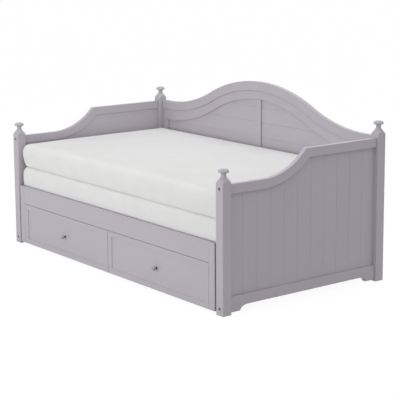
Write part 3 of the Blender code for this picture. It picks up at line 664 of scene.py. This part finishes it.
def postRings(half, shoulder):
    outline = roundedSquare(half)
    line = [(radius * half, shoulder + height * post["finialHeight"])
            for radius, height in smoothLine(post["profile"], post["lineSteps"])]
    girth = [(height, radius) for radius, height in line]
    neck = min(range(len(line) // 2), key=lambda index: line[index][0])
    reaches = [math.hypot(x, y) for x, y in outline]
    steer = [(x / reach, y / reach) for (x, y), reach in zip(outline, reaches)]
    rims = [crossing(line, reach) for reach in reaches]
    foot, arris = post["footEase"], post["arris"]

    def ring(radii, heights):
        return [(cosine * radius, sine * radius, height)
                for (cosine, sine), radius, height in zip(steer, radii, heights)]

    def squareRing(inset, heights):
        return ring([reach - inset for reach in reaches], heights)

    count = len(outline)
    share = post["footShare"]
    rings = [squareRing(foot, [0.0] * count), squareRing(foot * share, [foot * share] * count)]
    shaft = between(post["shaftStart"], shoulder - post["shaftEnd"], post["shaftSteps"])
    for height in [foot] + shaft:
        rings.append(squareRing(0.0, [height] * count))
    rings.append(squareRing(0.0, [rim - arris for rim in rims]))
    rings.append(squareRing(arris * post["arrisShare"], rims))
    for share in between(0.0, 1.0, post["neckSteps"]):
        heights = [rim + arris + (line[neck][1] - rim - arris) * share for rim in rims]
        rings.append(ring([valueAt(girth, height) for height in heights], heights))
    for radius, height in line[neck + 1:]:
        rings.append(ring([radius] * count, [height] * count))
    return rings


def boreCutter(place, facing):  # counterbore for a bolt's head, with its mouth chamfered
    radius, depth = bolt["boreRadius"], bolt["sink"] + bolt["headHeight"]
    chamfer = bolt["mouthChamfer"]
    shape = turning([(radius, -depth), (radius, -chamfer), (radius + chamfer, 0.0),
                     (radius + chamfer, bolt["overrun"])], bolt["boreSteps"])
    shape.transform(standing(place, facing))
    return newPiece("boreCutter", shape, boredFinish)


def makePost(node, shoulder, facing, boltHeights):
    low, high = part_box(node)
    half = (high.x - low.x) / 2
    middle = Vector(((low.x + high.x) / 2, (low.y + high.y) / 2, 0.0))
    shape = loft(postRings(half, shoulder))
    bmesh.ops.translate(shape, verts=shape.verts, vec=middle)
    piece = newPiece(pieceName(node), shape, paintFinish["Z"], boredFinish)
    face = middle.y + facing * half
    for height in boltHeights:
        carved(piece, boreCutter(Vector((middle.x, face, height)), facing))
    mouth = bolt["boreRadius"] + bolt["mouthChamfer"]
    shallow, deep = bolt["bared"]
    for patch in piece.data.polygons:
        for height in boltHeights:
            reach = math.hypot(patch.center.x - middle.x, patch.center.z - height)
            if reach < mouth and shallow < abs(patch.center.y - face) < deep:
                patch.material_index = 1
    levelShaded(piece)
    sharpened(piece, post["sharpAngle"])
    fitted(piece, "paint", node)


def makeBolt(node, facing):
    low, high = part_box(node)
    tip, top = (high.y, low.y) if facing < 0 else (low.y, high.y)
    length = abs(top - tip)
    under = length - bolt["headHeight"]
    shank, head, ease = bolt["shankRadius"], bolt["headRadius"], bolt["headEase"]
    lower, upper = ease * bolt["lowerShare"], ease * bolt["upperShare"]
    rings = []
    for radius, height in ((0.0, 0.0), (shank - bolt["tipChamfer"], 0.0),
                           (shank, bolt["tipRun"]), (shank, under), (head - lower, under),
                           (head, under + lower), (head, length - ease),
                           (head - upper, length - upper), (head - ease, length)):
        rings.append([(radius * math.cos(turn), radius * math.sin(turn), height)
                      for turn in turns(bolt["steps"])])
    for share, depth in ((bolt["mouthShare"], 0.0), (1.0, bolt["mouthDepth"]),
                         (1.0, bolt["socketDepth"]), (0.0, bolt["socketDepth"])):
        ring = []  # the socket has six flats
        for turn in turns(bolt["steps"]):
            reach = share * bolt["socketRadius"] / math.cos(turn % (math.pi / 3) - math.pi / 6)
            ring.append((reach * math.cos(turn), reach * math.sin(turn), length - depth))
        rings.append(ring)
    shape = loft(rings)
    shape.transform(standing(Vector(((low.x + high.x) / 2, tip, (low.z + high.z) / 2)), facing))
    piece = newPiece(pieceName(node), shape, zincFinish)
    sharpened(piece, bolt["sharpAngle"])
    fitted(piece, "steel", node)


print("Posts and bolts")
for side in ("left", "right"):
    for place, facing in (("front", -1), ("back", 1)):
        boltHeights = []
        for level in ("lower", "upper"):
            boltNode = f"bolt_{place}_{side}_{level}"
            low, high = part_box(boltNode)
            boltHeights.append((low.z + high.z) / 2)
            makeBolt(boltNode, facing)
        postNode = f"post_{place}_{side}"
        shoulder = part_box(postNode)[1].z - post["finialHeight"]
        makePost(postNode, shoulder, facing, boltHeights)


# End panels

endPanel = {
    "sweepStart": -0.2845, "sweepEnd": 0.0105, "sweepSteps": 36,
    "lowTop": 0.684, "highTop": 0.816,
    "railWidth": 0.051, "tongue": 0.008, "topEase": 0.0024, "bottomEase": 0.0016,
    "boards": 11, "boardFace": 0.015, "boardThickness": 0.008,  # face set back from the rail's
    "seam": [(-0.0032, 0.0), (-0.0016, 0.0007), (-0.0003, 0.0019), (0.0003, 0.0019),
             (0.0016, 0.0007), (0.0032, 0.0)],
    "stations": 60, "seamClear": 0.0045, "overrun": 0.001, "sharpAngle": 50.0,
    "foot": 0.010, "arch": 0.038, "footLength": 0.068, "curveRun": 0.054, "curveSteps": 16,
    "cleatEase": 0.0015,
}


def sweepTop(drop, reachLow, reachHigh):  # line that runs drop below an end panel's top edge
    run = endPanel["sweepEnd"] - endPanel["sweepStart"]
    rise = endPanel["highTop"] - endPanel["lowTop"]
    radius = (run ** 2 + rise ** 2) / (2 * rise)
    turn = math.acos((radius - rise + drop) / (radius + drop))
    points = [(reachLow, endPanel["lowTop"] - drop)]
    for angle in between(0.0, turn, endPanel["sweepSteps"]):
        points.append((endPanel["sweepStart"] + (radius + drop) * math.sin(angle),
                       endPanel["lowTop"] + radius - (radius + drop) * math.cos(angle)))
    points.append((reachHigh, endPanel["highTop"] - drop))
    return points


def archLine(low, high):  # underside of the bottom rail, from foot to foot
    rise = endPanel["arch"] - endPanel["foot"]
    curve = [(endPanel["footLength"] + endPanel["curveRun"] * (1 - math.cos(angle)),
              endPanel["foot"] + rise * math.sin(angle))
             for angle in between(0.0, math.pi / 2, endPanel["curveSteps"])]
    half = [(0.0, endPanel["foot"])] + curve
    return [(low + run, z) for run, z in half] + [(high - run, z) for run, z in reversed(half)]


def makeEnd(side):
    sign = 1 if side == "right" else -1
    topRail, bottomRail, boards = [f"end_{side}_{part}"
                                   for part in ("top_rail", "bottom_rail", "boards")]
    low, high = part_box(topRail)
    outer, inner = (high.x, low.x) if sign > 0 else (low.x, high.x)
    face = outer - sign * endPanel["boardFace"]
    rear = face - sign * endPanel["boardThickness"]
    near, far = face + sign * making["fitGap"], rear - sign * making["fitGap"]
    grooveDepth = endPanel["tongue"] + making["fitGap"]

    def makeRail(name, plainLine, edgeLine, floorLine, ease):  # lines of (y, z) along the rail
        rings = [[(outer, *plain), (outer, *edge), (near, *edge), (near, *deep), (far, *deep),
                  (far, *edge), (inner, *edge), (inner, *plain)]
                 for plain, edge, deep in zip(plainLine, edgeLine, floorLine)]
        rail = newPiece(pieceName(name), loft(rings), paintFinish["Y"])
        eased(fitted(rail, "paint", name), ease)

    makeRail(topRail, *[sweepTop(drop, low.y, high.y) for drop in
                        (0.0, endPanel["railWidth"], endPanel["railWidth"] - grooveDepth)],
             endPanel["topEase"])
    low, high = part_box(bottomRail)
    under = archLine(low.y, high.y)
    makeRail(bottomRail, under, [(y, high.z) for y, z in under],
             [(y, high.z - grooveDepth) for y, z in under], endPanel["bottomEase"])

    low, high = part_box(boards)
    width = (high.y - low.y) / endPanel["boards"]
    stations = [(y, 0.0) for y in between(low.y, high.y, endPanel["stations"])]
    for index in range(1, endPanel["boards"]):
        seam = low.y + width * index
        stations = [station for station in stations
                    if abs(station[0] - seam) > endPanel["seamClear"]]
        stations += [(seam + offset, depth) for offset, depth in endPanel["seam"]]
    stations.sort()
    roof = sweepTop(endPanel["railWidth"] - endPanel["tongue"],
                    low.y - endPanel["overrun"], high.y + endPanel["overrun"])
    bottom = [(face - sign * depth, y, low.z) for y, depth in stations]
    bottom += [(rear, y, low.z) for y, depth in reversed(stations)]
    top = [(x, y, valueAt(roof, y)) for x, y, z in bottom]
    piece = newPiece(pieceName(boards), loft([bottom, top]), paintFinish["Z"])
    sharpened(piece, endPanel["sharpAngle"])
    levelShaded(piece)
    fitted(piece, "paint", boards)


print("End panels")
for side in ("left", "right"):
    makeEnd(side)
    easedCopy(f"end_{side}_cleat", pineFinish["Y"], "pine", endPanel["cleatEase"])


# Back panel

backPanel = {
    "crestSteps": 40,
    "crest": {"peak": 1.035, "valley": 0.8235, "run": 0.917, "inflection": 0.5224},
    "crestWidth": 0.058, "crestEase": 0.0026,
    "facing": {"peak": 0.924, "valley": 0.6955, "run": 0.948, "inflection": 0.462},
    "facingEase": 0.0013, "bottomEase": 0.0020,
    "topSeam": 0.8755, "seamPitch": 0.0945, "seamEnd": 0.01,  # above the boards' lower ends
    "rise": 0.05, "overrun": 0.01,  # of the untrimmed boards, and of what trims them
    "sharpAngle": 50.0,
}


def wave(curve, drop, reach):  # crest line from the left end to the right end, as (x, z)
    turn = 2 * math.atan((curve["peak"] - curve["valley"]) / curve["run"])
    crown = curve["inflection"] * curve["run"] / math.sin(turn)
    hollow = (1 - curve["inflection"]) * curve["run"] / math.sin(turn)
    half = []
    for angle in between(0.0, turn, backPanel["crestSteps"]):
        half.append(((crown - drop) * math.sin(angle),
                     curve["peak"] - crown + (crown - drop) * math.cos(angle)))
    for angle in between(turn, 0.0, backPanel["crestSteps"])[1:]:
        half.append((curve["run"] - (hollow + drop) * math.sin(angle),
                     curve["valley"] + hollow - (hollow + drop) * math.cos(angle)))
    half.append((reach, half[-1][1]))
    return [(-x, z) for x, z in reversed(half[1:])] + half


def makeStrip(node, tops, bottoms, ease, steps):  # rail between two lines of (x, z)
    low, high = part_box(node)
    rings = [[(xTop, low.y, zTop), (xTop, high.y, zTop), (xLow, high.y, zLow), (xLow, low.y, zLow)]
             for (xTop, zTop), (xLow, zLow) in zip(tops, bottoms)]
    strip = newPiece(pieceName(node), loft(rings), paintFinish["X"])
    eased(fitted(strip, "paint", node), ease, steps)


def makeBoards(reach, seatDrop):
    low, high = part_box("back_boards")
    section = [(low.y, low.z)]
    seams = []
    seam = backPanel["topSeam"]
    while seam > low.z + backPanel["seamEnd"]:
        seams.append(seam)
        seam -= backPanel["seamPitch"]
    for seam in reversed(seams):
        section += [(low.y + depth, seam + offset) for offset, depth in endPanel["seam"]]
    top = high.z + backPanel["rise"]
    section += [(low.y, top), (high.y, top), (high.y, low.z)]
    boards = newPiece("backBoards", prism(section, "X", -reach, reach), paintFinish["X"])
    over = backPanel["overrun"]
    outline = wave(backPanel["crest"], seatDrop, reach + over)
    outline += [(reach + over, low.z - over), (-reach - over, low.z - over)]
    trim = newPiece("boardTrim", prism(outline, "Y", low.y - over, high.y + over))
    carved(boards, trim, "INTERSECT")
    boards.data.materials.clear()
    boards.data.materials.append(paintFinish["X"])
    sharpened(boards, backPanel["sharpAngle"])
    levelShaded(boards)
    fitted(boards, "paint", "back_boards")


def makeBack():
    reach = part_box("back_boards")[1].x
    seatDrop = backPanel["crestWidth"] + making["fitGap"]
    makeStrip("back_crest_rail", wave(backPanel["crest"], 0.0, reach),
              wave(backPanel["crest"], backPanel["crestWidth"], reach),
              backPanel["crestEase"], making["easeSteps"])
    seat = wave(backPanel["crest"], seatDrop, reach)
    edge = wave(backPanel["facing"], 0.0, reach)
    makeStrip("back_top_facing", seat, [(x, valueAt(edge, x)) for x, z in seat],
              backPanel["facingEase"], making["fewEaseSteps"])
    makeBoards(reach, seatDrop)
    for node in ("back_stile_left", "back_stile_right", "back_muntin"):
        easedCopy(node, paintFinish["Z"], "paint", backPanel["facingEase"])
    easedCopy("back_bottom_rail", paintFinish["X"], "paint", backPanel["bottomEase"])


print("Back panel")
makeBack()


# Bed base and pull-out frame

base = {"beamEase": 0.0015, "slatEase": 0.0014, "frontEase": 0.0008, "boardEase": 0.0006}

print("Bed base and pull-out frame")
easedCopy("fixed_cross_beam", pineFinish["X"], "pine", base["beamEase"])
for node in ("fixed_slats", "sliding_slats"):
    easedCopy(node, pineFinish["Y"], "pine", base["slatEase"])
easedCopy("pull_out_front_rail", paintFinish["X"], "paint", base["frontEase"])
for side in ("left", "right"):
    easedCopy(f"pull_out_stile_{side}", paintFinish["Z"], "paint", base["frontEase"])
for side in ("left", "centre", "right"):
    easedCopy(f"partition_{side}", boardFinish, "board", base["boardEase"])
easedCopy("pull_out_rear_tie", boardFinish, "board", base["boardEase"])


# Wheels

wheel = {
    "bore": 0.0043, "hub": 0.0105, "dish": 0.0030, "ease": 0.0008, "draft": 0.0006,
    "rim": (0.0075, 0.0065, 0.0056),  # below the tread: the rim's foot, its side and its top
    "treadRound": 0.0030, "roundSteps": 8, "steps": 72, "sharpAngle": 45.0,
}


def makeWheel(node):
    low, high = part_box(node)
    radius, half = (high.z - low.z) / 2, (high.x - low.x) / 2
    bore, hub, curve = wheel["bore"], wheel["hub"], wheel["treadRound"]
    ease, draft = wheel["ease"], wheel["draft"]
    rimFoot, rimSide, rimTop = [radius - inset for inset in wheel["rim"]]
    side = [(bore, half - draft), (bore + draft, half), (hub - ease, half), (hub, half - ease),
            (hub + draft, half - wheel["dish"]), (rimFoot, half - wheel["dish"]),
            (rimSide, half - ease), (rimTop, half), (radius - curve, half)]
    side += [(radius - curve + curve * math.sin(angle), half - curve + curve * math.cos(angle))
             for angle in between(0.0, math.pi / 2, wheel["roundSteps"])[1:]]
    rings = [[(x, reach * math.cos(turn), reach * math.sin(turn)) for turn in turns(wheel["steps"])]
             for reach, x in side + [(reach, -x) for reach, x in reversed(side)]]
    shape = loft(rings, closed=True)
    bmesh.ops.translate(shape, verts=shape.verts, vec=(low + high) / 2)
    piece = newPiece(pieceName(node), shape, mouldedFinish)
    sharpened(piece, wheel["sharpAngle"])
    fitted(piece, "wheel", node)


print("Wheels")
for side in ("left", "centre", "right"):
    for place in ("front", "back"):
        makeWheel(f"wheel_{side}_{place}")


# Drawers

drawer = {
    "sideMargin": 0.036, "endMargin": 0.030, "slope": 0.0015, "depth": 0.0050,
    "frontEase": 0.0007, "boxEase": 0.0005,
}

knob = {
    "steps": 72, "lineSteps": 6, "studRadius": 0.0020, "sharpAngle": 50.0,
    # the neck's share takes the near-black finish: painted shade
    "neckShadeShare": 0.20,  # of its reach, in the darker finish
    "profile": [  # shares of the knob's radius and of its reach
        (0.56, 0.00), (0.60, 0.03), (0.60, 0.08), (0.44, 0.14), (0.34, 0.24), (0.33, 0.36),
        (0.42, 0.47), (0.66, 0.56), (0.92, 0.64), (1.00, 0.74), (0.94, 0.85), (0.72, 0.94),
        (0.38, 0.99), (0.00, 1.00)],
}


def makeDrawerFront(node):
    low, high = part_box(node)

    def rectangle(side, end, y):
        return [(low.x + side, y, low.z + end), (high.x - side, y, low.z + end),
                (high.x - side, y, high.z - end), (low.x + side, y, high.z - end)]

    side, end, slope = drawer["sideMargin"], drawer["endMargin"], drawer["slope"]
    rings = [rectangle(0.0, 0.0, high.y), rectangle(0.0, 0.0, low.y), rectangle(side, end, low.y),
             rectangle(side + slope, end + slope, low.y + drawer["depth"])]
    piece = newPiece(pieceName(node), loft(rings), paintFinish["X"])
    eased(fitted(piece, "paint", node), drawer["frontEase"])


def makeKnob(node, frontNode):
    low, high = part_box(node)
    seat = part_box(frontNode)[0].y + drawer["depth"]
    radius, reach, stud = (high.x - low.x) / 2, seat - low.y, knob["studRadius"]
    line = [(share * radius, height * reach)
            for share, height in smoothLine(knob["profile"], knob["lineSteps"])]
    shape = turning([(0.0, seat - high.y), (stud, seat - high.y), (stud, 0.0)] + line,
                    knob["steps"])
    shape.transform(standing(Vector(((low.x + high.x) / 2, seat, (low.z + high.z) / 2)), -1))
    piece = newPiece(pieceName(node), shape, nickelFinish, neckShadeFinish)
    # Faces near the seat take the near-black finish: painted shade on the neck
    for face in piece.data.polygons:
        if seat - face.center.y < reach * knob["neckShadeShare"]:
            face.material_index = 1
    sharpened(piece, knob["sharpAngle"])
    fitted(piece, "nickel", node)


print("Drawers")
for side in ("left", "right"):
    makeDrawerFront(f"drawer_{side}_front")
    makeKnob(f"drawer_{side}_knob", f"drawer_{side}_front")
    for part in ("side_left", "side_right", "floor", "back"):
        easedCopy(f"drawer_{side}_{part}", boardFinish, "board", drawer["boxEase"])


# Mattresses

mattress = {
    "unit": 0.040, "cornerRound": 0.022, "topCornerRound": 0.014, "sideDraw": 0.0015,
    "cornerSteps": 10, "longSteps": 84, "shortSteps": 48,
    "thickness": 0.1385, "capShare": 0.97, "capSteps": 24, "lineSteps": 3,
    "cornerReach": 0.34, "frontShare": 0.95,  # of half the depth where the front begins
    "crownShare": 1 / 3,  # of the way in, where the crown's full height is reached
    # Edge profiles from the bottom up, in shares of the unit and of the thickness
    "lower": {
        "crown": 0.0, "headroom": 0.0,
        "corner": [(0.50, 0.000), (0.42, 0.050), (0.36, 0.106), (0.09, 0.118), (0.05, 0.180),
                   (0.02, 0.280), (0.00, 0.440), (0.00, 0.600), (0.035, 0.720), (0.12, 0.820),
                   (0.28, 0.910), (0.50, 0.965), (0.74, 0.992), (1.00, 1.000)],
        "front": [(0.50, 0.000), (0.42, 0.050), (0.34, 0.106), (0.04, 0.117), (0.02, 0.180),
                  (0.00, 0.280), (0.00, 0.440), (0.00, 0.620), (0.02, 0.740), (0.07, 0.840),
                  (0.16, 0.920), (0.30, 0.970), (0.52, 0.993), (1.00, 1.000)],
        "rest": [(0.30, 0.000), (0.20, 0.050), (0.12, 0.100), (0.07, 0.150), (0.04, 0.200),
                 (0.02, 0.280), (0.00, 0.440), (0.00, 0.600), (0.01, 0.720), (0.03, 0.820),
                 (0.07, 0.900), (0.14, 0.960), (0.26, 0.992), (0.90, 1.000)],
    },
    "upper": {
        "crown": 0.002, "headroom": 0.0025,
        "corner": [(0.52, 0.000), (0.38, 0.020), (0.29, 0.080), (0.14, 0.250), (0.03, 0.460),
                   (0.00, 0.600), (0.04, 0.720), (0.13, 0.820), (0.30, 0.910), (0.52, 0.965),
                   (0.76, 0.992), (1.10, 1.000)],
        "front": [(0.42, 0.000), (0.26, 0.020), (0.17, 0.065), (0.07, 0.170), (0.02, 0.330),
                  (0.00, 0.500), (0.03, 0.640), (0.12, 0.760), (0.30, 0.870), (0.56, 0.945),
                  (0.88, 0.985), (1.40, 1.002)],
        "rest": [(0.42, 0.000), (0.26, 0.020), (0.17, 0.065), (0.07, 0.170), (0.02, 0.330),
                 (0.00, 0.500), (0.00, 0.650), (0.02, 0.790), (0.06, 0.890), (0.13, 0.960),
                 (0.24, 0.992), (0.90, 1.006)],
    },
}

puff = {
    "smaller": 0.0015, "frames": 20, "pressure": 4.0,
    "mostMove": 0.006, "stiffness": 30.0, "bend": 2.0,
    "railGap": 0.0015, "restGap": 0.0005,  # clear of the front rail's back and of its top
}

welt = {
    "radius": 0.0032, "lift": 0.0034, "sinkShare": 0.20, "sides": 10, "step": 0.012,
    "away": 0.05,  # from where it is drawn in against the cover
}


def cushionRing(middle, halfX, halfY, inset):
    taper = min(inset / mattress["unit"], 1.0)
    corner = mattress["cornerRound"] * (1 - taper) + mattress["topCornerRound"] * taper
    reachX, reachY = halfX - inset - corner, halfY - inset - corner
    points = []
    for quarter in range(4):
        turn = quarter * math.pi / 2
        signX, signY = (1, -1, -1, 1)[quarter], (1, 1, -1, -1)[quarter]
        for angle in between(turn, turn + math.pi / 2, mattress["cornerSteps"]):
            points.append((middle.x + signX * reachX + corner * math.cos(angle),
                           middle.y + signY * reachY + corner * math.sin(angle)))
        lengthwise = quarter in (0, 2)
        steps = mattress["longSteps"] if lengthwise else mattress["shortSteps"]
        for share in between(0.0, 1.0, steps)[1:-1]:
            draw = mattress["sideDraw"] * math.sin(math.pi * share)
            if lengthwise:
                points.append((middle.x + signX * reachX * (1 - 2 * share),
                               middle.y + signY * (halfY - inset - draw)))
            else:
                points.append((middle.x + signX * (halfX - inset - draw),
                               middle.y + signY * reachY * (1 - 2 * share)))
    return points


def puffUp(piece, low, high, rail):  # fills the cover by a short cloth run, held in its place
    before = [point.co.copy() for point in piece.data.vertices]
    cloth = piece.modifiers.new("filling", "CLOTH")
    cloth.settings.use_pressure = True
    cloth.settings.uniform_pressure_force = puff["pressure"]
    cloth.settings.tension_stiffness = puff["stiffness"]
    cloth.settings.compression_stiffness = puff["stiffness"]
    cloth.settings.bending_stiffness = puff["bend"]
    cloth.settings.effector_weights.gravity = 0.0
    cloth.point_cache.frame_end = puff["frames"]
    for moment in range(1, puff["frames"] + 1):
        scene.frame_set(moment)
    swollen = shapedMesh(piece)
    piece.modifiers.clear()
    after = [point.co.copy() for point in swollen.vertices]
    bpy.data.meshes.remove(swollen)
    railTop, railBack = rail.z + puff["restGap"], rail.y + puff["railGap"]
    for point, first, last in zip(piece.data.vertices, before, after):
        move = last - first
        if move.length > puff["mostMove"]:
            move *= puff["mostMove"] / move.length
        moved = first + move
        moved = Vector([max(low[axis], min(high[axis], moved[axis])) for axis in range(3)])
        if first.y < railBack:  # it rests on the front rail's top
            moved.z = max(moved.z, railTop)
        elif moved.z < railTop:
            moved.y = max(moved.y, railBack)
        point.co = moved
    scene.frame_set(1)


def makeWelt(piece, node, inset):  # corded seam round the bottom
    low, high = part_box(node)
    middle, half = (low + high) / 2, (high - low) / 2
    tree = BVHTree.FromPolygons([point.co[:] for point in piece.data.vertices],
                                [face.vertices[:] for face in piece.data.polygons])
    ring = cushionRing(middle, half.x, half.y, inset)
    path = []
    for here, after in zip(ring, ring[1:] + ring[:1]):
        count = max(1, round(math.dist(here, after) / welt["step"]))
        for share in between(0.0, 1.0, count)[:-1]:
            path.append(Vector((here[0] + (after[0] - here[0]) * share,
                                here[1] + (after[1] - here[1]) * share, low.z + welt["lift"])))
    radius, away, up = welt["radius"], welt["away"], Vector((0.0, 0.0, 1.0))
    rings = []
    for index, point in enumerate(path):
        forward = (path[(index + 1) % len(path)] - path[index - 1]).normalized()
        outward = forward.cross(up)
        hit = tree.ray_cast(point + outward * away, -outward, away * 2)[0]
        centre = (hit or point) - outward * radius * welt["sinkShare"]
        rings.append([centre + (outward * math.cos(turn) + up * math.sin(turn)) * radius
                      for turn in turns(welt["sides"])])
    cord = newPiece(pieceName(node) + "Welt", loft(rings, closed=True), weltShadeFinish)
    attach(cord, body_of(nodes[node])[0])


def eases(share):  # 0 to 1 with level ends
    share = max(0.0, min(1.0, share))
    return share * share * (3 - 2 * share)


def mattressRings(facts, low, high):
    middle, half = (low + high) / 2, (high - low) / 2
    halfX, halfY = half.x - puff["smaller"], half.y - puff["smaller"]
    unit, thickness = mattress["unit"], mattress["thickness"]
    lines = [smoothLine(facts[kind], mattress["lineSteps"]) for kind in ("corner", "front", "rest")]
    blends = []  # at each point of a ring: the corner's share, and the line it blends with
    for x, y in cushionRing(middle, halfX, halfY, 0.0):
        away = math.hypot(halfX - abs(x - middle.x), y - middle.y + halfY)
        atFront = y < middle.y - halfY * mattress["frontShare"]
        blends.append((1 - eases(away / mattress["cornerReach"]), 1 if atFront else 2))
    rings = []

    def addRing(levels):  # (inset, height) for the corner, the front and the rest
        flats = [cushionRing(middle, halfX, halfY, inset) for inset, height in levels]
        ring = []
        for index, (share, other) in enumerate(blends):
            (x, y), (x2, y2) = flats[0][index], flats[other][index]
            z, z2 = levels[0][1], levels[other][1]
            ring.append((x2 + (x - x2) * share, y2 + (y - y2) * share, z2 + (z - z2) * share))
        rings.append(ring)

    def capLevel(line, end, share):  # the share of the way in from the line's end
        inset, height = line[end]
        return inset * unit + (halfY - inset * unit) * share, low.z + thickness * height

    for share in between(mattress["capShare"], 0.0, mattress["capSteps"])[:-1]:
        addRing([capLevel(line, 0, share) for line in lines])
    for place in range(len(lines[0])):
        addRing([(line[place][0] * unit, low.z + thickness * line[place][1]) for line in lines])
    crown = low.z + thickness + facts["crown"]
    for share in between(0.0, mattress["capShare"], mattress["capSteps"])[1:]:
        levels = [capLevel(line, -1, share) for line in lines]
        rise = eases(share / mattress["crownShare"])
        addRing([(inset, height + (crown - height) * rise) for inset, height in levels])
    return rings


def makeMattress(label):
    node = "mattress_" + label
    facts = mattress[label]
    low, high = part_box(node)
    shape = loft(mattressRings(facts, low, high))
    bmesh.ops.triangulate(shape, faces=[face for face in shape.faces if len(face.verts) > 4])
    piece = newPiece(pieceName(node), shape, coverFinish)
    ceiling = high - Vector((0.0, 0.0, facts["headroom"]))
    puffUp(piece, low, ceiling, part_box("pull_out_front_rail")[1])
    finer = piece.modifiers.new("finerMesh", "SUBSURF")
    finer.levels = finer.render_levels = 1
    fitted(piece, "cover", node)
    makeWelt(piece, node, mattress["unit"] * facts["front"][1][0])


print("Mattresses")
for label in ("lower", "upper"):
    makeMattress(label)
